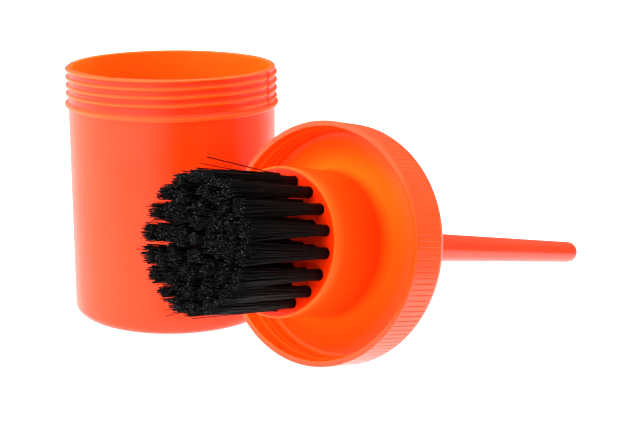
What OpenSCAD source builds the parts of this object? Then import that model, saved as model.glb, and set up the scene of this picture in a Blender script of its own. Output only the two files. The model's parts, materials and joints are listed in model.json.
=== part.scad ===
// Screw-lid brush pot, shown opened: the pot stands upright and its lid, which carries
// a tufted brush inside and a handle outside, lies beside it on the same table.
// Units are millimetres. +Z is up, and the origin is the centre of the pot's base.
// The lid, brush and handle are drawn along their own axis, with z = 0 at the lid's
// open rim and +z towards the bristle tips, and lid_place() lays them on the table.

/* [Pot] */
// Height of the pot, base to rim
pot_h = 94.2; // [80:0.1:120]
// Outer radius of the pot's wall just under the flange
body_r = 38.6; // [38:0.1:39.2]
// Outer radius of the pot's wall at the base
base_r = 38.5; // [37.5:0.1:39]
// Radius of the rounded edge between the wall and the base
base_edge_r = 3.5; // [3:0.5:8]
// Inner radius of the neck
mouth_r = 36.8; // [36.4:0.1:37.1]
// Inner radius of the pot at its floor
floor_r = 36.2; // [35.5:0.1:36.6]
// Thickness of the pot's floor
pot_floor_t = 2.2; // [1.5:0.1:4]

/* [Neck and thread] */
// Height of the neck, from the flange's lower edge to the rim
neck_h = 14.9; // [14:0.1:18]
// Outer radius of the flange that the lid comes down to
flange_r = 39.85; // [39.6:0.05:41]
// Height of the flange, with its slanted upper side
flange_t = 2.5; // [2:0.1:2.6]
// Outer radius of the neck between the thread's ridges
neck_r = 38.65; // [38.4:0.05:38.8]
// Radius of the thread's crest on the neck
thread_r = 39.4; // [39.1:0.05:39.45]
// Rise of the thread in one turn
pitch = 3.0; // [2.5:0.1:3.5]
// Turns of thread on the neck; the last ones run out through the rim
neck_turns = 4.2; // [2:0.1:4.3]
// Turns of thread inside the lid
lid_turns = 2.5; // [1:0.1:3]

/* [Lid] */
// Height of the lid's skirt
skirt_h = 15.6; // [15:0.1:20]
// Outer radius of the skirt at its open rim
rim_r = 41.65; // [41.4:0.05:43]
// Outer radius of the skirt at the closed end
crown_r = 41.05; // [40.8:0.05:42]
// Inner radius of the skirt
skirt_in_r = 39.6; // [39.5:0.05:40]
// Thickness of the lid's top
top_t = 1.9; // [1.5:0.1:3]
// Number of grip ribs round the skirt, flat with a narrow groove between them
ribs = 132; // [60:2:150]
// Depth of the grooves between the ribs
rib_depth = 0.25; // [0.2:0.05:0.5]
// Length of the grip ribs
rib_len = 12.6; // [8:0.1:13]

/* [Brush] */
// Radius of the hub that the tufts stand in
hub_r = 24.8; // [24:0.1:26]
// Height of the hub's face above the lid's rim
hub_h = 20.9; // [12:0.1:28]
// Radius of the flare between the hub and the lid's top
flare_r = 11.6; // [6:0.1:11.8]
// Length of the bristles, hub face to tips
bristle_len = 36; // [20:0.5:40]
// Radius of the holes that hold the tufts
hole_r = 1.95; // [1.7:0.05:2.1]
// Depth of the holes
hole_depth = 8; // [6:0.5:9]
// Radius of a tuft at its tips
tip_r = 2.3; // [2:0.05:2.5]
// Radius of the outer ring of tufts
ring_r = 20.8; // [20:0.1:21.5]

/* [Handle] */
// Length of the lid and handle together, rim to handle end
handle_reach = 177; // [120:1:200]
// Radius of the handle's round end
handle_end_r = 4.35; // [3.5:0.05:5]
// Radius of the handle where it leaves its flare
handle_root_r = 5.7; // [5:0.1:7]

/* [Layout] */
// Sideways distance of the lid's axis from the pot's axis
lid_x = 84.5; // [83:0.1:120]
// Position of the lid's rim along the handle's direction
lid_y = -15.9; // [-40:0.1:20]

/* [Hidden] */
$fn = 96;
arc_steps = 10;

// Neck
flange_z = pot_h - neck_h;
// The thread starts this far above the flange's lower edge, at this bearing from +X towards +Y
thread_start = 2.8;
thread_start_deg = -20;
thread_rim_gap = 0.3;
ridge_half = 1.05;
ridge_crest_half = 0.32;
root_sink = 0.4;
helix_steps = 40;

// Lid
crown_edge_r = 0.5;
lid_floor_z = top_t - skirt_h;
rib_start = 1.0;
grip_end_z = -rib_start - rib_len;
lid_crest_r = neck_r + 0.35;
lid_thread_z = lid_floor_z + 2.2;

// The hub is cored out behind the block that holds the tufts
block_t = 11;
core_r = 20.6;
core_top = hub_h - block_t;
plug_r = 23.4;
plug_t = 2.4;
fit_gap = 0.05;

// Number of tufts in each ring: the first is the one on the axis, the last the outer ring
ring_tufts = [1, 4, 8, 12, 18];
last_ring = len(ring_tufts) - 1;
stem_r = hole_r - 0.1;
hole_floor = hub_h - hole_depth;

// A small metal plate pressed across the hole holds each tuft, which stands on it.
// The fold of the filaments under the plate is left out.
anchor_t = 0.4;
anchor_h = 2;
anchor_z = hole_floor + 0.5;
tuft_foot = anchor_z + anchor_h;
anchor_w = 2 * sqrt(pow(hole_r - 0.01, 2) - pow(anchor_t / 2, 2));

// Handle
handle_flare = 7;
spigot_h = 6;
spigot_wall = 2.2;

// The lid lies on the edge of its crown and on the end of its handle
lean_a = crown_r - crown_edge_r;
lean_b = handle_reach - handle_end_r - skirt_h + crown_edge_r;
lean_c = handle_end_r - crown_edge_r;
lean = atan2(lean_a, lean_b) - asin(lean_c / sqrt(lean_a * lean_a + lean_b * lean_b));
lid_z = crown_edge_r + lean_a * cos(lean) + (skirt_h - crown_edge_r) * sin(lean);

pot_color = "orangered";
bristle_color = [0.05, 0.05, 0.05];
anchor_color = "silver";

// Points along an arc round (x, y), from one angle to another
function arc(x, y, r, from, to) =
    [for (i = [0:arc_steps]) let (a = from + (to - from) * i / arc_steps) [x + r * cos(a), y + r * sin(a)]];

// Lays something drawn in the lid's own frame on the table beside the pot
module lid_place() {
    translate([lid_x, lid_y, lid_z])
        rotate([90 - lean, 0, 0])
            children();
}

// Where a tuft stands in the lid's frame: ring 0 is the axis, and item counts from 0
function tuft_angle(ring, item) = 360 * item / ring_tufts[ring];
function tuft_place(ring, item) =
    let (r = ring_r * ring / last_ring, a = tuft_angle(ring, item))
    [r * cos(a), r * sin(a), 0];

// One cross-section of a thread's ridge, as corner points in space.
// root is the radius it grows from, crest the radius it reaches, fade runs from 0 to 1.
function ridge_section(root, crest, angle, z, fade) =
    let (tip = root + (crest - root) * fade, half = ridge_half * (0.4 + 0.6 * fade))
    [for (p = [[root, -half], [tip, -ridge_crest_half * fade], [tip, ridge_crest_half * fade], [root, half]])
        [p[0] * cos(angle), p[0] * sin(angle), z + p[1]]];

// Right-hand ridge that climbs from z_low over a number of turns and fades out at both ends
module thread_ridge(root, crest, z_low, turns, start_angle) {
    steps = ceil(turns * helix_steps);
    fade_steps = helix_steps / 10;
    sections = [for (i = [0:steps])
        ridge_section(root, crest, start_angle + 360 * turns * i / steps,
            z_low + pitch * turns * i / steps,
            0.35 + 0.65 * min(1, i / fade_steps, (steps - i) / fade_steps))];
    points = [for (s = sections) each s];
    turned_in = crest < root;
    sides = [for (i = [0:steps - 1], k = [0:3])
        let (a = 4 * i + k, b = 4 * i + (k + 1) % 4)
        turned_in ? [a + 4, b + 4, b, a] : [a, b, b + 4, a + 4]];
    order = turned_in ? [0, 1, 2, 3] : [3, 2, 1, 0];
    low_end = order;
    high_end = [for (k = [3:-1:0]) 4 * steps + order[k]];
    polyhedron(points, concat(sides, [low_end, high_end]), convexity = 10);
}

// ---- Pot ----

module pot_outline() {
    // Wall up to the flange, with the rounded edge at its foot
    polygon([[0, 0], [base_r - base_edge_r, 0], [base_r - base_edge_r, base_edge_r],
        [base_r, base_edge_r], [body_r, flange_z], [0, flange_z]]);
    translate([base_r - base_edge_r, base_edge_r])
        intersection() {
            circle(base_edge_r);
            translate([0, -base_edge_r])
                square(base_edge_r);
        }
    // Flange with a slanted upper side
    translate([0, flange_z])
        polygon([[0, 0], [flange_r - 0.3, 0], [flange_r, 0.3], [flange_r, flange_t / 2],
            [neck_r, flange_t], [0, flange_t]]);
    // Neck with a softened rim
    translate([0, flange_z])
        polygon([[0, 0], [neck_r, 0], [neck_r, neck_h - 0.5], [neck_r - 0.5, neck_h], [0, neck_h]]);
}

module pot_hollow() {
    inner_edge_r = base_edge_r - pot_floor_t;
    translate([0, pot_floor_t])
        polygon([[0, 0], [floor_r - inner_edge_r, 0], [floor_r - inner_edge_r, inner_edge_r],
            [floor_r, inner_edge_r], [mouth_r, flange_z - pot_floor_t],
            [mouth_r, pot_h], [0, pot_h]]);
    translate([floor_r - inner_edge_r, pot_floor_t + inner_edge_r])
        intersection() {
            circle(inner_edge_r);
            translate([0, -inner_edge_r])
                square(inner_edge_r);
        }
}

module pot() {
    color(pot_color)
        union() {
            rotate_extrude()
                difference() {
                    pot_outline();
                    pot_hollow();
                }
            intersection() {
                thread_ridge(neck_r - root_sink, thread_r, flange_z + thread_start, neck_turns,
                    thread_start_deg);
                translate([0, 0, flange_z])
                    cylinder(h = neck_h - thread_rim_gap, r = thread_r + 1);
            }
        }
}

// ---- Lid ----

// Half section of the lid: the top, the hub with its flare, and the skirt
module lid_outline() {
    flare = arc(hub_r + flare_r, lid_floor_z + flare_r, flare_r, 180, 270);
    crown_edge = arc(crown_r - crown_edge_r, crown_edge_r - skirt_h, crown_edge_r, 0, -90);
    polygon(concat(
        [[core_r, core_top], [0, core_top], [0, hub_h], [hub_r - 0.4, hub_h], [hub_r, hub_h - 0.4]],
        flare,
        [[skirt_in_r - 0.8, lid_floor_z], [skirt_in_r, lid_floor_z + 0.8], [skirt_in_r, -0.5],
            [skirt_in_r + 0.5, 0], [rim_r - 0.4, 0], [rim_r, -0.4], [rim_r, grip_end_z]],
        crown_edge,
        [[plug_r + fit_gap, -skirt_h], [plug_r + fit_gap, plug_t - skirt_h], [core_r, plug_t - skirt_h]]));
}

// Ring of grooves that leaves the grip ribs standing
module grip_grooves() {
    step = 360 / ribs;
    tip = rim_r + 0.1;
    valley = rim_r - rib_depth;
    outline = [for (i = [0:ribs - 1], c = [[-0.4, tip], [0.4, tip], [0.5, valley]])
        [c[1] * cos((i + c[0]) * step), c[1] * sin((i + c[0]) * step)]];
    translate([0, 0, grip_end_z])
        linear_extrude(rib_len)
            difference() {
                circle(rim_r + 2);
                polygon(outline);
            }
}

module tuft_holes() {
    for (ring = [0:last_ring], item = [0:ring_tufts[ring] - 1])
        translate(tuft_place(ring, item) + [0, 0, hole_floor])
            cylinder(h = hole_depth + 1, r = hole_r);
}

module lid() {
    color(pot_color)
        lid_place()
            union() {
                difference() {
                    rotate_extrude()
                        lid_outline();
                    grip_grooves();
                    tuft_holes();
                }
                // The lid is upside down in its own frame, and a thread keeps its hand when turned over
                thread_ridge(skirt_in_r + root_sink, lid_crest_r, lid_thread_z, lid_turns, 0);
            }
}

// ---- Handle ----

// Half section of the handle: round end, tapered shaft, flare, and the plug that closes the
// hub, with the wall that centres it in the hub's core
module handle_outline() {
    end_z = handle_end_r - handle_reach;
    flare_z = -skirt_h - handle_flare;
    spigot_r = core_r - fit_gap;
    polygon(concat(
        arc(0, end_z, handle_end_r, -90, 0),
        arc(handle_root_r + handle_flare, flare_z, handle_flare, 180, 90),
        [[plug_r, -skirt_h], [plug_r, plug_t - skirt_h], [spigot_r, plug_t - skirt_h],
            [spigot_r, plug_t - skirt_h + spigot_h],
            [spigot_r - spigot_wall, plug_t - skirt_h + spigot_h],
            [spigot_r - spigot_wall, plug_t - skirt_h], [0, plug_t - skirt_h]]));
}

module handle() {
    color(pot_color)
        lid_place()
            rotate_extrude()
                handle_outline();
}

// ---- Brush ----

// The plate across a tuft's hole
module anchor_plate(ring, item) {
    translate(tuft_place(ring, item) + [0, 0, anchor_z])
        rotate([0, 0, tuft_angle(ring, item)])
            translate([-anchor_t / 2, -anchor_w / 2, 0])
                cube([anchor_t, anchor_w, anchor_h]);
}

// One tuft, from the plate in its hole to its tips, widening slightly all the way
module tuft(ring, item) {
    color(bristle_color)
        lid_place()
            translate(tuft_place(ring, item) + [0, 0, tuft_foot])
                cylinder(h = hub_h + bristle_len - tuft_foot, r1 = stem_r, r2 = tip_r);
}

module tuft_anchors() {
    color(anchor_color)
        lid_place()
            for (ring = [1:last_ring], item = [0:ring_tufts[ring] - 1])
                anchor_plate(ring, item);
}

module centre_anchor() {
    color(anchor_color)
        lid_place()
            anchor_plate(0, 0);
}

pot();
lid();
handle();
tuft_anchors();
centre_anchor();
tuft(0, 0);  // tuft_centre
tuft(1, 0);  // tuft_a01
tuft(1, 1);  // tuft_a02
tuft(1, 2);  // tuft_a03
tuft(1, 3);  // tuft_a04
tuft(2, 0);  // tuft_b01
tuft(2, 1);  // tuft_b02
tuft(2, 2);  // tuft_b03
tuft(2, 3);  // tuft_b04
tuft(2, 4);  // tuft_b05
tuft(2, 5);  // tuft_b06
tuft(2, 6);  // tuft_b07
tuft(2, 7);  // tuft_b08
tuft(3, 0);  // tuft_c01
tuft(3, 1);  // tuft_c02
tuft(3, 2);  // tuft_c03
tuft(3, 3);  // tuft_c04
tuft(3, 4);  // tuft_c05
tuft(3, 5);  // tuft_c06
tuft(3, 6);  // tuft_c07
tuft(3, 7);  // tuft_c08
tuft(3, 8);  // tuft_c09
tuft(3, 9);  // tuft_c10
tuft(3, 10);  // tuft_c11
tuft(3, 11);  // tuft_c12
tuft(4, 0);  // tuft_d01
tuft(4, 1);  // tuft_d02
tuft(4, 2);  // tuft_d03
tuft(4, 3);  // tuft_d04
tuft(4, 4);  // tuft_d05
tuft(4, 5);  // tuft_d06
tuft(4, 6);  // tuft_d07
tuft(4, 7);  // tuft_d08
tuft(4, 8);  // tuft_d09
tuft(4, 9);  // tuft_d10
tuft(4, 10);  // tuft_d11
tuft(4, 11);  // tuft_d12
tuft(4, 12);  // tuft_d13
tuft(4, 13);  // tuft_d14
tuft(4, 14);  // tuft_d15
tuft(4, 15);  // tuft_d16
tuft(4, 16);  // tuft_d17
tuft(4, 17);  // tuft_d18
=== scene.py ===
import json
import math
import random

import bpy
import numpy as np
from mathutils import Matrix, Vector
from mathutils.geometry import delaunay_2d_cdt


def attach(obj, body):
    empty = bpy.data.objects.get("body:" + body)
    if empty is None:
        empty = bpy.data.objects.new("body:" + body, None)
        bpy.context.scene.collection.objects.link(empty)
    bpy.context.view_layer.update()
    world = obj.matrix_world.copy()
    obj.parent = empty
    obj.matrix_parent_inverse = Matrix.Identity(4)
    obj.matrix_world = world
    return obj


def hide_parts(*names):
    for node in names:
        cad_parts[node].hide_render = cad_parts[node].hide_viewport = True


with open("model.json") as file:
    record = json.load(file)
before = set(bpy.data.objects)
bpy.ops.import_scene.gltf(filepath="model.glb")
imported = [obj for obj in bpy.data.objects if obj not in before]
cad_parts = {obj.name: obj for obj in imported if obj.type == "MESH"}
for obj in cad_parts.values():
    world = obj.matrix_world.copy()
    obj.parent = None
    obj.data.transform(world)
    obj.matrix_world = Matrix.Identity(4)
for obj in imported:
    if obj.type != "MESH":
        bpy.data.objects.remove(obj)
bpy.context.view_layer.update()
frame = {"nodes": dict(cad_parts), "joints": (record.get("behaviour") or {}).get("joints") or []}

MM = 0.001

# ---------------------------------------------------------------- the frame

# The lid unit is built along its own axis: z = 0 at its open rim, +z towards the bristle tips.
turn = next(joint for joint in frame["joints"] if joint["name"] == "lid_turn")
lid_axis_z = -Vector(turn["axis"]).normalized()
lid_axis_x = Vector((1, 0, 0))
lid_axis_y = lid_axis_z.cross(lid_axis_x)
lid_turned = Matrix((lid_axis_x, lid_axis_y, lid_axis_z)).transposed().to_4x4()
LID_PLACE = Matrix.Translation(Vector(turn["pos_m"])) @ lid_turned
POT_PLACE = Matrix.Identity(4)

# ---------------------------------------------------------------- sizes, in millimetres

# Pot; the neck stands above the flange
POT_H = 94.2
BODY_R = 38.6
BASE_R = 38.5
BASE_EDGE_R = 3.5
MOUTH_R = 36.8
FLOOR_R = 36.2
FLOOR_T = 2.2
NECK_H = 14.9
FLANGE_R = 39.85
FLANGE_T = 2.5
NECK_R = 38.65
FLANGE_Z = POT_H - NECK_H

# Mould marks on the pot. Bearings are in degrees and widths in radians
PARTINGS = (20.0, 200.0)
PARTING_WIDTH = 0.012
THREAD_GAP = 0.06
NICK_BEARING = -78.0
NICK_WIDTH = 0.06
NICK_BULGE = 0.25
NICK_DROP = 0.35

# Thread; NECK_TURNS and LID_TURNS count its turns on the neck and inside the lid
THREAD_R = 39.45
PITCH = 3.0
THREAD_START = FLANGE_Z + 2.8
THREAD_START_DEG = -20.0
NECK_TURNS = 4.2
LID_TURNS = 2.5
LID_THREAD_Z = -11.5
LID_THREAD_DEPTH = 0.7
RIDGE_HALF = 1.0

# Lid; RIB_HALF is half the flat top of a grip rib, as a share of the ribs' spacing
SKIRT_H = 15.6
RIM_R = 41.65
CROWN_R = 41.05
SKIRT_IN_R = 39.6
LID_FLOOR_Z = -13.7
RIBS = 132
RIB_DEPTH = 0.25
RIB_HALF = 0.4
RIB_TOP_Z = -1.0
RIB_LOW_Z = -13.6
HUB_R = 24.8
HUB_H = 20.9
FLARE_R = 11.6
CORE_R = 20.6
CORE_TOP = 9.9
PLUG_R = 23.4
PLUG_T = 2.4

# Brush; TUFTS counts the tufts in each ring, from the axis outwards
TUFTS = [1, 4, 8, 12, 18]
OUTER_RING = len(TUFTS) - 1
RING_R = 20.8
HOLE_R = 1.95
HOLE_SHOWN = 3.0
BRISTLE_LEN = 38.0
LEN_SPREAD = 0.8
LEN_MOST = 2.4
SAG = 1.2
TIP_RADIAL = 2.1
TIP_ACROSS = 3.2
TIP_ACROSS_CHANGE = 0.4
CENTRE_TIP = 1.7
FILAMENT_R = 0.14
FILAMENTS = 130

# Standard deviation of a tip's place: near the axis, in the middle rings and in the outer ring. Away
# from the axis a few filaments stray further, by LOOSE. SHARES is how often each of the three comes up
TIDY_SCATTER = 0.25
MIDDLE_SCATTER = 0.8
OUTER_SCATTER = 0.3
LOOSE = (0.9, 2.0)
SHARES = (86, 12, 2)

# One long filament that has sprung out of the brush's upper side
STRAY_TUFT = "tuft_d06"
STRAY_FOOT = (0.6, 1.4)
STRAY_TIP = (-3.6, 5.6)
STRAY_LEN = 30.5
STRAY_BOW = (0.2, 0.3)
STRAY_R = 0.21

# Handle
HANDLE_REACH = 177.0
HANDLE_END_R = 4.35
HANDLE_ROOT_R = 5.7
HANDLE_FLARE = 7.0

# ---------------------------------------------------------------- light and shade painted into the plastic's colour

# Painted light and shade: 1 paints the warm colour of a thin wall lit from behind, and below 0 paints a
# deeper red as shade
# Painted light inside the pot, painted darker towards +X and +Y by POT_INSIDE_CHANGE
POT_INSIDE_PAINTED_LIGHT = 1.0
POT_INSIDE_CHANGE = 0.3
# Painted highlights on the rim, the flange's lip and the thread's crests, and painted shade at the thread's
# roots
RIM_PAINTED_HIGHLIGHT = 0.5
LIP_PAINTED_HIGHLIGHT = 0.45
ROOT_PAINTED_SHADE = -0.2
CREST_PAINTED_HIGHLIGHT = 0.55
# Painted light on the grip and in its grooves, lighter higher up, and painted light through the skirt and the
# lid's floor
GRIP_PAINTED_LIGHT = 0.15
GROOVE_PAINTED_LIGHT = 0.2
GROOVE_CHANGE = 0.8
SKIRT_PAINTED_LIGHT = 0.5
SKIRT_CHANGE = 0.4
LID_FLOOR_CHANGE = 0.3
# A painted highlight on the hub's edge, painted shade on its face between the tufts and at its foot, and on
# the handle
HUB_EDGE_PAINTED_HIGHLIGHT = 0.6
HUB_FACE_PAINTED_SHADE = -0.3
HUB_FOOT_PAINTED_SHADE = -0.05
HUB_SIDE_CHANGE = 0.2
HANDLE_PAINTED_SHADE = -0.15

# ---------------------------------------------------------------- light

# Strength of the white walls at bearings round the room, in degrees from +X towards +Y
WALLS = [(-180, 1.5), (-135, 1.5), (-110, 1.2), (-75, 0.95), (-68, 0.85), (-61, 0.12), (36, 0.12), (54, 0.4),
         (66, 0.6), (90, 1.4), (125, 1.2), (180, 1.5)]
# How reflections see the room: two elevations in degrees and the level at each of them. For a wall that
# is a share of its strength, and for the ceiling and the table it is the strength itself
LEFT_WALL = (8, 25, 1, 0.25)
RIGHT_WALL = (-13, -4, 1, 0.12)
CEILING = (28, 48, 0, 0.5)
TABLE = (-17, -27, 0, 1.7)
# Middle bearing of the right-hand wall, and how far from it the change to the left-hand wall begins
# and ends, all in degrees
RIGHT_MIDDLE = 80
RIGHT_REACH = (70, 90)
FLOOR_GLOW = 1.2
# Matt shading sees the walls this much brighter than reflections do, and a little more from all round
MATT_GAIN = 2.7
MATT_FILL = 0.7

# ---------------------------------------------------------------- camera

CAMERA_AT = Vector((0.38199, -0.36914, 0.17180))
CAMERA_LOOK = Vector((-0.62215, 0.74284, -0.24723))
CAMERA_ROLL = math.radians(0.34)
CAMERA_LENS = 79.86


def make_camera():
    data = bpy.data.cameras.new("camera")
    data.lens = CAMERA_LENS
    data.sensor_width = 36
    data.sensor_fit = "HORIZONTAL"
    data.clip_start = 0.01
    data.clip_end = 50
    camera = bpy.data.objects.new("camera", data)
    bpy.context.collection.objects.link(camera)
    camera.rotation_mode = "QUATERNION"
    aim = CAMERA_LOOK.to_track_quat("-Z", "Y").to_matrix()
    roll = Matrix.Rotation(CAMERA_ROLL, 3, "Z")
    camera.rotation_quaternion = (aim @ roll).to_quaternion()
    camera.location = CAMERA_AT
    bpy.context.scene.camera = camera


make_camera()

# ---------------------------------------------------------------- node materials


class Nodes:
    """Short ways to add nodes to one material."""

    def __init__(self, name):
        self.material = bpy.data.materials.new(name)
        self.material.use_nodes = True
        self.tree = self.material.node_tree
        self.shader = self.tree.nodes["Principled BSDF"]
        coordinates = self.tree.nodes.new("ShaderNodeTexCoord")
        self.position = coordinates.outputs["Object"]

    def link(self, source, target):
        self.tree.links.new(source, target)

    def noise(self, scale, detail=3.0, rough=0.5, stretch=None):
        texture = self.tree.nodes.new("ShaderNodeTexNoise")
        texture.inputs["Scale"].default_value = scale
        texture.inputs["Detail"].default_value = detail
        texture.inputs["Roughness"].default_value = rough
        self.link(self.stretched(stretch), texture.inputs["Vector"])
        return texture.outputs["Fac"]

    def stretched(self, stretch):
        if stretch is None:
            return self.position
        mapping = self.tree.nodes.new("ShaderNodeMapping")
        mapping.inputs["Scale"].default_value = stretch
        self.link(self.position, mapping.inputs["Vector"])
        return mapping.outputs["Vector"]

    def ramp(self, source, stops):
        ramp = self.tree.nodes.new("ShaderNodeValToRGB")
        elements = ramp.color_ramp.elements
        while len(elements) < len(stops):
            elements.new(0.5)
        for element, (at, colour) in zip(elements, stops, strict=True):
            element.position = at
            element.color = (*colour, 1) if isinstance(colour, tuple) else (colour, colour, colour, 1)
        self.link(source, ramp.inputs["Fac"])
        return ramp.outputs["Color"]

    def span(self, source, low, high, to_low, to_high):
        node = self.tree.nodes.new("ShaderNodeMapRange")
        for name, value in (("From Min", low), ("From Max", high), ("To Min", to_low), ("To Max", to_high)):
            node.inputs[name].default_value = value
        self.link(source, node.inputs["Value"])
        return node.outputs["Result"]

    def add(self, first, second):
        node = self.tree.nodes.new("ShaderNodeMath")
        node.operation = "ADD"
        self.link(first, node.inputs[0])
        self.link(second, node.inputs[1])
        return node.outputs["Value"]

    def bump(self, height, distance):
        node = self.tree.nodes.new("ShaderNodeBump")
        node.inputs["Distance"].default_value = distance
        self.link(height, node.inputs["Height"])
        return node.outputs["Normal"]

    def set(self, **values):
        for name, value in values.items():
            self.shader.inputs[name.replace("_", " ")].default_value = value


# The base colours painted in where light comes through a thin wall, a painted light
PAINTED_LIGHT_DEEP = (0.96, 0.125, 0.004)
PAINTED_LIGHT_BRIGHT = (0.98, 0.14, 0.006)


def orange_plastic(name, deep, bright, gloss):
    """Glossy moulded polypropylene: cloudy colour, faint orange peel and fine scuffs.

    The mesh's "painted_light" attribute paints light and shade into the base colour: at 1 the warmer colour
    of a thin wall lit from behind, and below 0 a deeper red as painted shade in corners, between the tufts
    and in the thick handle.
    """
    n = Nodes(name)
    cloud = n.noise(28.0, 2.0)
    painted_light = n.tree.nodes.new("ShaderNodeAttribute")
    painted_light.attribute_name = "painted_light"
    # Mixes the base colour towards the painted light colours, and past them the other way into painted shade
    mix = n.tree.nodes.new("ShaderNodeMix")
    mix.data_type = "RGBA"
    mix.clamp_factor = False
    n.link(painted_light.outputs["Fac"], mix.inputs["Factor"])
    n.link(n.ramp(cloud, [(0.3, deep), (0.7, bright)]), mix.inputs["A"])
    n.link(n.ramp(cloud, [(0.3, PAINTED_LIGHT_DEEP), (0.7, PAINTED_LIGHT_BRIGHT)]), mix.inputs["B"])
    n.link(mix.outputs["Result"], n.shader.inputs["Base Color"])
    scuffs = n.noise(700.0, 4.0, 0.6)
    smears = n.noise(60.0, 3.0)
    roughness = n.add(n.span(scuffs, 0.4, 0.75, 0.0, 0.03), n.span(smears, 0.3, 0.7, 0.2, 0.25))
    n.link(roughness, n.shader.inputs["Roughness"])
    n.link(n.bump(n.noise(300.0, 2.0), 0.000004), n.shader.inputs["Normal"])
    n.set(IOR=1.49, Specular_IOR_Level=gloss, Subsurface_Weight=0.3, Subsurface_Radius=(1.0, 0.4, 0.2),
          Subsurface_Scale=0.0015)
    return n.material


def black_nylon(name, dark, light, rough):
    """Extruded black filament: a faint sheen that varies from one filament to the next."""
    n = Nodes(name)
    streaks = n.noise(1500.0, 2.0, 0.5, (1.0, 0.06, 1.0))
    n.link(n.ramp(streaks, [(0.35, dark), (0.75, light)]), n.shader.inputs["Base Color"])
    n.link(n.span(streaks, 0.3, 0.7, rough, rough + 0.15), n.shader.inputs["Roughness"])
    n.link(n.bump(n.noise(4000.0, 1.0), 0.00001), n.shader.inputs["Normal"])
    n.set(IOR=1.53, Specular_IOR_Level=0.12)
    return n.material


def cut_ends(name):
    """The filaments' cut ends: mostly black, here and there a pale painted glint where a cut end catches the
    light.
    """
    n = Nodes(name)
    painted_glints = n.noise(2300.0, 1.0)
    n.link(n.ramp(painted_glints, [(0.56, 0.003), (0.66, 0.11)]), n.shader.inputs["Base Color"])
    n.link(n.span(painted_glints, 0.3, 0.7, 0.45, 0.7), n.shader.inputs["Roughness"])
    n.set(IOR=1.53, Specular_IOR_Level=0.15)
    return n.material


def anchor_steel(name):
    """Bright drawn steel of the plates that hold the tufts."""
    n = Nodes(name)
    brushed = n.noise(2500.0, 3.0, 0.6, (1.0, 1.0, 0.1))
    n.link(n.ramp(brushed, [(0.3, 0.42), (0.7, 0.62)]), n.shader.inputs["Base Color"])
    n.link(n.span(brushed, 0.3, 0.7, 0.25, 0.45), n.shader.inputs["Roughness"])
    n.set(Metallic=1.0)
    return n.material


POT_PLASTIC = orange_plastic("pot_plastic", (0.93, 0.043, 0.001), (0.97, 0.051, 0.002), 0.5)
LID_PLASTIC = orange_plastic("lid_plastic", (0.93, 0.047, 0.001), (0.97, 0.055, 0.002), 0.5)
INSIDE_PLASTIC = orange_plastic("inside_plastic", (0.93, 0.045, 0.001), (0.97, 0.053, 0.002), 0.15)
NYLON = black_nylon("black_nylon", 0.002, 0.006, 0.4)
CUT_ENDS = cut_ends("cut_ends")
STEEL = anchor_steel("anchor_steel")

# ---------------------------------------------------------------- lathe-turned shapes


def outline(corners):
    """Points of a half section. A corner is (r, z, rounding radius, longest step to the next corner)."""
    points = []
    for i, (r, z, rounding, step) in enumerate(corners):
        here = Vector((r, z))
        turned = [here]
        if rounding and 0 < i < len(corners) - 1:
            back = (Vector(corners[i - 1][:2]) - here).normalized()
            ahead = (Vector(corners[i + 1][:2]) - here).normalized()
            half_angle = back.angle(ahead) / 2
            reach = rounding / math.tan(half_angle)
            centre = here + (back + ahead).normalized() * rounding / math.sin(half_angle)
            first = here + back * reach - centre
            last = here + ahead * reach - centre
            swing = first.angle_signed(last)
            count = max(3, round(math.degrees(abs(swing)) / 15))
            turned = []
            for k in range(count + 1):
                spin = Matrix.Rotation(-swing * k / count, 2)
                turned.append(centre + spin @ first)
        if points:
            start = points[-1]
            gap = (turned[0] - start).length
            pieces = max(1, math.ceil(gap / corners[i - 1][3]))
            points += [start.lerp(turned[0], k / pieces) for k in range(1, pieces)]
        points += turned
    return np.array([tuple(p) for p in points])


def smooth_step(x):
    """0 below 0, 1 above 1 and a smooth change between them."""
    x = np.clip(x, 0, 1)
    return x * x * (3 - 2 * x)


def thread_height(angle, z, start_z, start_deg, turns, side):
    """Height of a right-hand ridge, from 0 to 1, at each angle and z.

    side is the share of a turn over which the ridge fades in and out at its two ends.
    """
    lead = (angle - math.radians(start_deg)) / (2 * math.pi)
    lead = lead - np.floor(lead)
    level = (z - start_z) / PITCH - lead
    lap = np.round(level)
    lap = np.clip(lap, 0, None)
    offset = (level - lap) * PITCH
    travelled = lap + lead
    fade = smooth_step(travelled / side) * smooth_step((turns - travelled) / side)
    bulge = np.where(np.abs(offset) < RIDGE_HALF, np.cos(offset / RIDGE_HALF * math.pi / 2), 0) ** 1.3
    return bulge * fade


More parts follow.
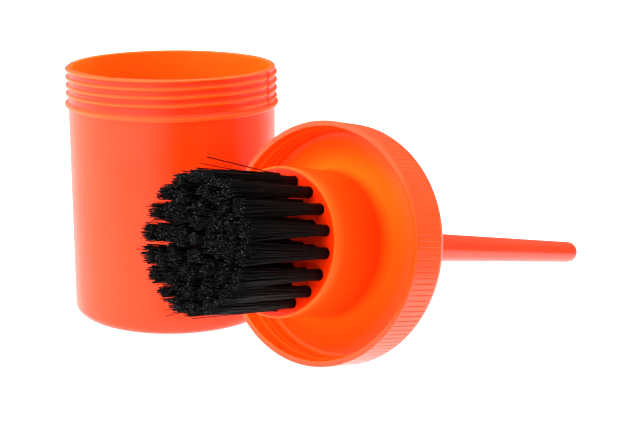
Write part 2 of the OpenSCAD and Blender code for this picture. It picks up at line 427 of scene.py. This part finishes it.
def lathe(name, section, angles, place, plastic, shift, end_disc=None, painted_light=None, is_inside=None):
    """Turns a half section round the z axis.

    shift(angle, r, z) gives the radius and height of each point, painted_light(r, z, x, y) how much light or
    shade is painted into the colour there, and is_inside(r, z) says where the duller plastic of an inside
    begins.
    """
    a = np.asarray(angles)[None, :]
    r0 = section[:, 0][:, None] + 0 * a
    z0 = section[:, 1][:, None] + 0 * a
    r, z = shift(a + 0 * r0, r0, z0)
    grid = np.stack([r * np.cos(a), r * np.sin(a), z], axis=-1)
    rows, columns = r.shape
    vertices = []
    index = np.zeros((rows, columns), dtype=int)
    for i in range(rows):
        if section[i, 0] == 0:
            index[i, :] = len(vertices)
            vertices.append((0, 0, grid[i, 0, 2]))
        else:
            index[i, :] = np.arange(columns) + len(vertices)
            vertices.extend(map(tuple, grid[i]))
    faces = []
    for low in range(rows - 1):
        high = low + 1
        low_pole, high_pole = section[low, 0] == 0, section[high, 0] == 0
        if low_pole and high_pole:
            continue
        for j in range(columns):
            k = (j + 1) % columns
            corner = [index[low, j], index[low, k], index[high, k], index[high, j]]
            if low_pole:
                corner = [corner[0], corner[2], corner[3]]
            elif high_pole:
                corner = [corner[0], corner[1], corner[2]]
            faces.append([int(c) for c in corner])
    turned = len(faces)
    if end_disc:
        end_disc(vertices, faces, [int(c) for c in index[rows - 1]])
    piece = make_piece(name, [Vector(v) * MM for v in vertices], faces, place, turned)
    # Stores the painted light and shade of each point for the material's colour
    if painted_light:
        levels = [painted_light(math.hypot(v[0], v[1]), v[2], v[0], v[1]) for v in vertices]
        piece.data.attributes.new("painted_light", "FLOAT", "POINT").data.foreach_set("value", levels)
    piece.data.materials.append(plastic)
    if is_inside:
        middles = [sum((Vector(vertices[i]) for i in face), Vector()) / len(face) for face in faces]
        piece.data.materials.append(INSIDE_PLASTIC)
        piece.data.polygons.foreach_set("material_index", [is_inside(m.xy.length, m.z) for m in middles])
    return piece


def make_piece(name, vertices, faces, place, smooth_faces):
    """A mesh whose first smooth_faces faces are shaded smooth and the rest flat."""
    mesh = bpy.data.meshes.new(name)
    mesh.from_pydata([tuple(place @ v) for v in vertices], [], faces)
    mesh.polygons.foreach_set("use_smooth", [i < smooth_faces for i in range(len(faces))])
    mesh.update()
    piece = bpy.data.objects.new(name, mesh)
    bpy.context.collection.objects.link(piece)
    return piece


def even_angles(count, extra=()):
    """Angles round a turn, with a few more close together at each of the extra bearings."""
    angles = list(np.arange(count) * 2 * math.pi / count)
    for bearing in extra:
        for step in (-0.012, -0.006, -0.0035, 0, 0.0035, 0.006, 0.012):
            angles.append((math.radians(bearing) + step) % (2 * math.pi))
    return np.array(sorted(set(angles)))


def near(angle, bearing, width):
    """1 at a bearing, falling to 0 within a width in radians."""
    away = np.abs((angle - math.radians(bearing) + math.pi) % (2 * math.pi) - math.pi)
    return smooth_step(1 - away / width)


# ---------------------------------------------------------------- pot


def pot_shift(angle, r, z):
    """Adds the neck's thread, the mould's parting lines and a small nick in the rim."""
    outside = r > MOUTH_R + 0.9
    on_neck = outside & (z > FLANGE_Z + FLANGE_T / 2)
    ridge = thread_height(angle, z, THREAD_START, THREAD_START_DEG, NECK_TURNS, 0.06)
    parting = sum(near(angle, bearing, PARTING_WIDTH) for bearing in PARTINGS)
    gap = sum(near(angle, bearing, THREAD_GAP) for bearing in PARTINGS)
    height = (THREAD_R - NECK_R) * (ridge * (1 - 0.9 * gap) + 0.5 * parting)
    rim_fade = smooth_step((POT_H - z) / 0.45)
    r = r + np.where(on_neck, height * rim_fade, 0)
    r = r + np.where(outside & (z > BASE_EDGE_R), 0.06 * parting, 0)
    nick = near(angle, NICK_BEARING, NICK_WIDTH) * smooth_step((z - POT_H + 0.9) / 0.9)
    return r + np.where(outside, NICK_BULGE * nick, 0), z - NICK_DROP * nick


def in_pot(r, z):
    """True on the inside of the wall and of the floor."""
    return r < MOUTH_R + 0.3 and z > FLOOR_T - 0.2


def pot_painted_light(r, z, x, y):
    """Painted light in the colour, as if light came through the wall: most inside, there painted darker
    towards +X and +Y, painted highlights at the rim, the flange's lip and the thread's crests, and painted
    shade at the thread's roots.
    """
    if in_pot(r, z):
        return POT_INSIDE_PAINTED_LIGHT - POT_INSIDE_CHANGE * (x + y) / max(r, 1)
    if z > POT_H - 0.5:
        return RIM_PAINTED_HIGHLIGHT
    if z > FLANGE_Z + FLANGE_T:
        return ROOT_PAINTED_SHADE + (CREST_PAINTED_HIGHLIGHT - ROOT_PAINTED_SHADE) * (r - NECK_R) / (THREAD_R - NECK_R)
    return LIP_PAINTED_HIGHLIGHT * (r > BODY_R + 0.5 and z < FLANGE_Z + 1.5)


def make_pot():
    section = outline([
        (0, 0.4, 0, 3), (2.4, 0.4, 0.3, 1), (2.8, 0, 0.3, 8), (BASE_R, 0, BASE_EDGE_R, 6),
        (BODY_R, FLANGE_Z, 0.2, 1), (FLANGE_R, FLANGE_Z, 0.6, 1), (FLANGE_R, FLANGE_Z + FLANGE_T / 2, 0.4, 1),
        (NECK_R, FLANGE_Z + FLANGE_T, 0.5, 0.2), (NECK_R, POT_H, 0.55, 0.4), (MOUTH_R, POT_H, 0.6, 2),
        (MOUTH_R, FLANGE_Z, 4, 6), (FLOOR_R, FLOOR_T, BASE_EDGE_R - FLOOR_T, 6), (0, FLOOR_T, 0, 1)])
    pot = lathe("pot_moulding", section, even_angles(300, PARTINGS), POT_PLACE, POT_PLASTIC, pot_shift,
                painted_light=pot_painted_light, is_inside=in_pot)
    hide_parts("pot")
    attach(pot, "pot")


# ---------------------------------------------------------------- lid


def tuft_spots():
    """Name, centre (x, y) and ring of each tuft in the lid's own frame, in millimetres."""
    spots = []
    for ring, count in enumerate(TUFTS):
        radius = RING_R * ring / OUTER_RING
        for item in range(count):
            bearing = 2 * math.pi * item / count
            name = "tuft_centre" if ring == 0 else f"tuft_{'abcd'[ring - 1]}{item + 1:02d}"
            spots.append((name, radius * math.cos(bearing), radius * math.sin(bearing), ring))
    return spots


def rib_angles():
    """Seven angles to each grip rib, all of them close to the groove between two ribs."""
    steps = (-0.5, -0.45, -0.4, -0.36, 0.36, 0.4, 0.45)
    return np.array([(i + s + 0.5) * 2 * math.pi / RIBS for i in range(RIBS) for s in steps])


def lid_shift(angle, r, z):
    """Cuts the grooves between the grip ribs and adds the thread inside the skirt."""
    place = angle * RIBS / (2 * math.pi) - 0.5
    across = np.abs(place - np.round(place))
    groove = np.clip((across - RIB_HALF) / (0.5 - RIB_HALF), 0, 1)
    fade = smooth_step(np.minimum((RIB_TOP_Z - z) / 0.4, (z - RIB_LOW_Z) / 0.8))
    outside = r > RIM_R - 0.3
    r = r - np.where(outside, RIB_DEPTH * groove * fade, 0)
    ridge = thread_height(angle, z, LID_THREAD_Z, 0, LID_TURNS, 0.08)
    inside = (np.abs(r - SKIRT_IN_R) < 0.02) & (z > LID_FLOOR_Z + 1.8)
    return r - np.where(inside, LID_THREAD_DEPTH * ridge, 0), z


def in_lid(r, z):
    """True on the floor, the skirt's inside and the hub, and not on the back or in the hub's open core."""
    return r < SKIRT_IN_R + 0.3 and z > LID_FLOOR_Z - 0.3 and (r > CORE_R + 1.0 or z > CORE_TOP + 1.0)


def lid_painted_light(r, z, x, y):
    """Painted light and shade in the colour, as if light came through the thin floor and skirt.

    The floor is painted brighter high up, and the skirt low down and to the left. The grip's grooves are
    painted lighter high up and darker low down; the hub's edge has a painted highlight, its face painted
    shade, and its side painted shade at the foot that lightens upwards.
    """
    up, left = y / max(r, 1), -x / max(r, 1)
    if not in_lid(r, z):
        in_groove = r < RIM_R - RIB_DEPTH / 2 and RIB_LOW_Z + 1 < z < RIB_TOP_Z
        return GROOVE_PAINTED_LIGHT + GROOVE_CHANGE * up if in_groove else GRIP_PAINTED_LIGHT * (r > SKIRT_IN_R)
    if z > HUB_H - 0.5:
        return HUB_EDGE_PAINTED_HIGHLIGHT if r > HUB_R - 0.6 else HUB_FACE_PAINTED_SHADE
    reach = r - HUB_R
    if reach < 0.1:
        return HUB_FOOT_PAINTED_SHADE + HUB_SIDE_CHANGE * z / HUB_H
    if r > SKIRT_IN_R - 2.0:
        return SKIRT_PAINTED_LIGHT + SKIRT_CHANGE * (left - up)
    # The floor's painted light fades outwards, and most of all into the corner at the top, as painted shade
    outwards = max(1.25 - 0.08 * reach, 0.65) - max(up, 0) ** 4 * reach / 20
    return min(reach / 0.8, 1.0) * (outwards + LID_FLOOR_CHANGE * up)


def hub_face(vertices, faces, edge):
    """Fills the hub's face, leaving the tuft holes, and gives each hole a wall and a bottom."""
    sides = 20
    flat = [Vector(vertices[i][:2]) for i in edge]
    rings = [list(range(len(edge)))]
    for _, x, y, _ in tuft_spots():
        rings.append(list(range(len(flat), len(flat) + sides)))
        for k in range(sides):
            bearing = 2 * math.pi * k / sides
            flat.append(Vector((x + HOLE_R * math.cos(bearing), y + HOLE_R * math.sin(bearing))))
    edges = [(ring[k], ring[(k + 1) % len(ring)]) for ring in rings for k in range(len(ring))]
    _, _, triangles, *_ = delaunay_2d_cdt(flat, edges, [], 0, 1e-6)
    face_z = vertices[edge[0]][2]
    index = list(edge)
    for spot in flat[len(edge):]:
        index.append(len(vertices))
        vertices.append((spot.x, spot.y, face_z))
    centres = [Vector((x, y)) for _, x, y, _ in tuft_spots()]
    for triangle in triangles:
        middle = sum((flat[i] for i in triangle), Vector((0, 0))) / 3
        if all((middle - centre).length > HOLE_R * 0.99 for centre in centres):
            faces.append([index[i] for i in triangle])
    for ring in rings[1:]:
        low = len(vertices)
        for i in ring:
            vertices.append((flat[i].x, flat[i].y, face_z - HOLE_SHOWN))
        for k in range(sides):
            m = (k + 1) % sides
            faces.append([index[ring[k]], index[ring[m]], low + m, low + k])
        faces.append([low + k for k in range(sides)])


def make_lid():
    top = -SKIRT_H
    section = outline([
        (0, CORE_TOP, 0, 10), (CORE_R, CORE_TOP, 0.5, 12), (CORE_R, top + PLUG_T, 0.2, 3),
        (PLUG_R + 0.05, top + PLUG_T, 0.1, 3), (PLUG_R + 0.05, top, 0.25, 6),
        (CROWN_R, top, 0.5, 3), (RIM_R, RIB_LOW_Z, 0.3, 0.25), (RIM_R, RIB_LOW_Z + 0.9, 0, 1.4),
        (RIM_R, -1.5, 0, 0.15), (RIM_R, -0.9, 0, 0.25), (RIM_R, 0, 0.4, 0.5),
        (SKIRT_IN_R, 0, 0.4, 0.36), (SKIRT_IN_R, LID_FLOOR_Z, 2.0, 2), (HUB_R, LID_FLOOR_Z, FLARE_R, 5),
        (HUB_R, HUB_H, 0.45, 2), (HUB_R - 1.0, HUB_H, 0, 1)])
    lid = lathe("lid_moulding", section, rib_angles(), LID_PLACE, LID_PLASTIC, lid_shift, end_disc=hub_face,
                painted_light=lid_painted_light, is_inside=in_lid)
    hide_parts("lid")
    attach(lid, "lid")


# ---------------------------------------------------------------- handle


def handle_shift(angle, r, z):
    """Adds the faint parting line down both sides of the handle."""
    line = near(angle, 0, 0.09) + near(angle, 180, 0.09)
    return r + np.where(r > 1, 0.05 * line, 0), z


def make_handle():
    top = -SKIRT_H
    spigot_r = CORE_R - 0.05
    section = outline([
        (0, -HANDLE_REACH, 0, 5), (HANDLE_END_R, -HANDLE_REACH, HANDLE_END_R, 4),
        (HANDLE_ROOT_R, top, HANDLE_FLARE, 4), (PLUG_R, top, 0.25, 2), (PLUG_R, top + PLUG_T, 0.1, 3),
        (spigot_r, top + PLUG_T, 0, 2),
        (spigot_r, top + PLUG_T + 6, 0.3, 2), (spigot_r - 2.2, top + PLUG_T + 6, 0.3, 2),
        (spigot_r - 2.2, top + PLUG_T, 0.2, 6), (0, top + PLUG_T, 0, 1)])
    # The handle's colour is painted a little darker all over, as painted shade
    handle = lathe("handle_moulding", section, even_angles(72, (0, 180)), LID_PLACE, LID_PLASTIC,
                   handle_shift, painted_light=lambda *_: HANDLE_PAINTED_SHADE)
    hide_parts("handle")
    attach(handle, "lid")


# ---------------------------------------------------------------- bristles


def tube(vertices, faces, ends, path, radius, sides=6):
    """Adds one filament along a path, with a flat cut end."""
    base = len(vertices)
    for i, point in enumerate(path):
        along = (path[min(i + 1, len(path) - 1)] - path[max(i - 1, 0)]).normalized()
        side = along.cross(Vector((0.31, 0.95, 0.0))).normalized()
        up = along.cross(side)
        for k in range(sides):
            bearing = 2 * math.pi * k / sides
            vertices.append(point + (side * math.cos(bearing) + up * math.sin(bearing)) * radius)
    for i in range(len(path) - 1):
        for k in range(sides):
            m = (k + 1) % sides
            a, b = base + i * sides, base + (i + 1) * sides
            faces.append([a + m, b + m, b + k, a + k])
    last = base + (len(path) - 1) * sides
    ends.append(len(faces))
    faces.append([last + k for k in range(sides)])
    faces.append([base + k for k in reversed(range(sides))])


def filament_path(foot, tip_spot, length, bow, sag, steps=5):
    """Points along a filament, which leaves its hole straight, bows to one side and sags at its tip."""
    path = []
    for i in range(steps + 1):
        t = i / steps
        spread = t ** 1.4
        sway = math.sin(math.pi * t) * Vector(bow)
        x = foot[0] + (tip_spot[0] - foot[0]) * spread + sway[0]
        y = foot[1] + (tip_spot[1] - sag - foot[1]) * spread + sway[1]
        path.append(Vector((x, y, HUB_H + (length * t if i else -HOLE_SHOWN * 0.6))))
    return path


def packed_spots(count):
    """Points spread evenly over a unit disc, the way filaments fill a hole."""
    golden = math.pi * (3 - math.sqrt(5))
    reaches = [math.sqrt((k + 0.5) / count) for k in range(count)]
    return [(reach * math.cos(k * golden), reach * math.sin(k * golden)) for k, reach in enumerate(reaches)]


def make_tuft(name, x, y, ring, rng):
    """One tuft: its filaments fill the round hole and fan out to an oval at their tips."""
    vertices, faces, ends = [], [], []
    outward = Vector((x, y)).normalized() if ring else Vector((1, 0))
    across = Vector((-outward.y, outward.x))
    # The tufts towards +X fan out a little wider
    fan = TIP_ACROSS + TIP_ACROSS_CHANGE * x / RING_R
    half = (TIP_RADIAL, fan) if ring else (CENTRE_TIP, CENTRE_TIP)
    # The tufts near the axis stay straight and tidy, so that they clear the one on the axis as they turn
    is_tidy = ring < 2
    sway = 0.15 if is_tidy else 0.5
    usual = OUTER_SCATTER if ring == OUTER_RING else MIDDLE_SCATTER
    sag = SAG * ring / OUTER_RING
    lean = Vector((rng.gauss(0.2 if ring == 1 else -0.3, 0.2), rng.gauss(0, sway)))
    trim = rng.gauss(0, 0.4)
    foot_r = HOLE_R - FILAMENT_R - 0.06
    for u, v in packed_spots(FILAMENTS):
        foot = Vector((x, y)) + (outward * u + across * v) * foot_r
        scatter = TIDY_SCATTER if is_tidy else rng.choices((usual, *LOOSE), SHARES)[0]
        outset = lean.x + u * half[0] + rng.gauss(0, scatter)
        aside = lean.y + v * half[1] + rng.gauss(0, scatter)
        spot = Vector((x, y)) + outward * outset + across * aside
        length = BRISTLE_LEN + trim + min(LEN_MOST, rng.gauss(0, LEN_SPREAD))
        bow = Vector((rng.gauss(0, 0.15), rng.gauss(0, 0.15)))
        path = filament_path(foot, spot, length, bow, sag)
        tube(vertices, faces, ends, path, FILAMENT_R * rng.uniform(0.85, 1.05))
    if name == STRAY_TUFT:
        start = Vector((x, y)) + Vector(STRAY_FOOT)
        tip = Vector((x, y)) + Vector(STRAY_TIP)
        tube(vertices, faces, ends, filament_path(start, tip, STRAY_LEN, STRAY_BOW, sag), STRAY_R)
    tuft = make_piece("bristles_" + name.removeprefix("tuft_"), [v * MM for v in vertices], faces, LID_PLACE,
                      len(faces))
    tuft.data.materials.append(NYLON)
    tuft.data.materials.append(CUT_ENDS)
    for i in ends:
        tuft.data.polygons[i].material_index = 1
        tuft.data.polygons[i].use_smooth = False
    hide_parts(name)
    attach(tuft, "brush_core" if ring == 0 else "lid")


def make_brush():
    rng = random.Random(7)
    for name, x, y, ring in tuft_spots():
        make_tuft(name, x, y, ring, rng)


# ---------------------------------------------------------------- studio


def make_floor():
    bpy.ops.mesh.primitive_circle_add(vertices=96, radius=8, fill_type="NGON", location=(0, 0, -0.00005))
    floor = bpy.context.object
    floor.name = "floor"
    n = Nodes("floor_paper")
    n.link(n.ramp(n.noise(3.0, 2.0), [(0.3, 0.28), (0.7, 0.3)]), n.shader.inputs["Base Color"])
    n.set(Roughness=0.9, Specular_IOR_Level=0.1, Emission_Color=(1, 1, 1, 1), Emission_Strength=FLOOR_GLOW)
    floor.data.materials.append(n.material)
    floor.visible_glossy = False


def make_light():
    """A white room, which each kind of ray sees in its own way.

    Matt shading sees walls that are bright to the left and behind and dim to the right, at any height.
    Reflections see them fade with height, between a table and a ceiling. The camera sees plain white.
    """
    world = bpy.data.worlds.new("studio")
    bpy.context.scene.world = world
    world.use_nodes = True
    tree = world.node_tree

    def node(kind, *inputs, operation=None):
        made = tree.nodes.new(kind)
        if operation:
            made.operation = operation
        for socket, value in zip(made.inputs, inputs):
            if isinstance(value, (int, float)):
                socket.default_value = value
            else:
                tree.links.new(value, socket)
        return made

    def maths(operation, *inputs):
        return node("ShaderNodeMath", *inputs, operation=operation).outputs[0]

    direction = node("ShaderNodeTexCoord").outputs["Generated"]
    x, y, z = node("ShaderNodeSeparateXYZ", direction).outputs

    def by_height(low, high, at_low, at_high):
        """Changes smoothly from one level to another between two elevations in degrees."""
        ends = [math.sin(math.radians(elevation)) for elevation in (low, high)]
        made = node("ShaderNodeMapRange", z, *ends, at_low, at_high)
        made.interpolation_type = "SMOOTHSTEP"
        return made.outputs[0]

    bearing = maths("ARCTAN2", y, x)
    lap = node("ShaderNodeMapRange", bearing, -math.pi, math.pi, 0, 1).outputs[0]
    ramp = node("ShaderNodeValToRGB", lap)
    elements = ramp.color_ramp.elements
    while len(elements) < len(WALLS):
        elements.new(0.5)
    for element, (at, level) in zip(elements, WALLS, strict=True):
        element.position = (at + 180) / 360
        element.color = (level, level, level, 1)
    # Reflections to the right and behind are lit from below the horizon, and the wall above it is dark
    left = maths("MULTIPLY", ramp.outputs[0], by_height(*LEFT_WALL))
    right = maths("MULTIPLY", ramp.outputs[0], by_height(*RIGHT_WALL))
    away = maths("ABSOLUTE", maths("SUBTRACT", bearing, math.radians(RIGHT_MIDDLE)))
    near_end, far_end = (math.radians(reach) for reach in RIGHT_REACH)
    is_right = node("ShaderNodeMapRange", away, near_end, far_end, 1, 0).outputs[0]
    side = maths("MULTIPLY_ADD", is_right, maths("SUBTRACT", right, left), left)
    overhead = by_height(*CEILING)
    below = by_height(*TABLE)
    path = node("ShaderNodeLightPath").outputs
    shown = maths("MAXIMUM", maths("MAXIMUM", side, overhead), maths("MAXIMUM", below, path["Is Camera Ray"]))
    matt = maths("MULTIPLY_ADD", ramp.outputs[0], MATT_GAIN, MATT_FILL)
    strength = node("ShaderNodeMapRange", path["Is Diffuse Ray"], 0, 1, shown, matt).outputs[0]
    background = tree.nodes["Background"]
    background.inputs["Color"].default_value = (1, 1, 1, 1)
    tree.links.new(strength, background.inputs["Strength"])


make_pot()
make_lid()
make_handle()
make_brush()
for node in ("tuft_anchors", "centre_anchor"):
    frame["nodes"][node].data.materials.clear()
    frame["nodes"][node].data.materials.append(STEEL)
make_floor()
make_light()
bpy.context.scene.view_settings.view_transform = "Standard"
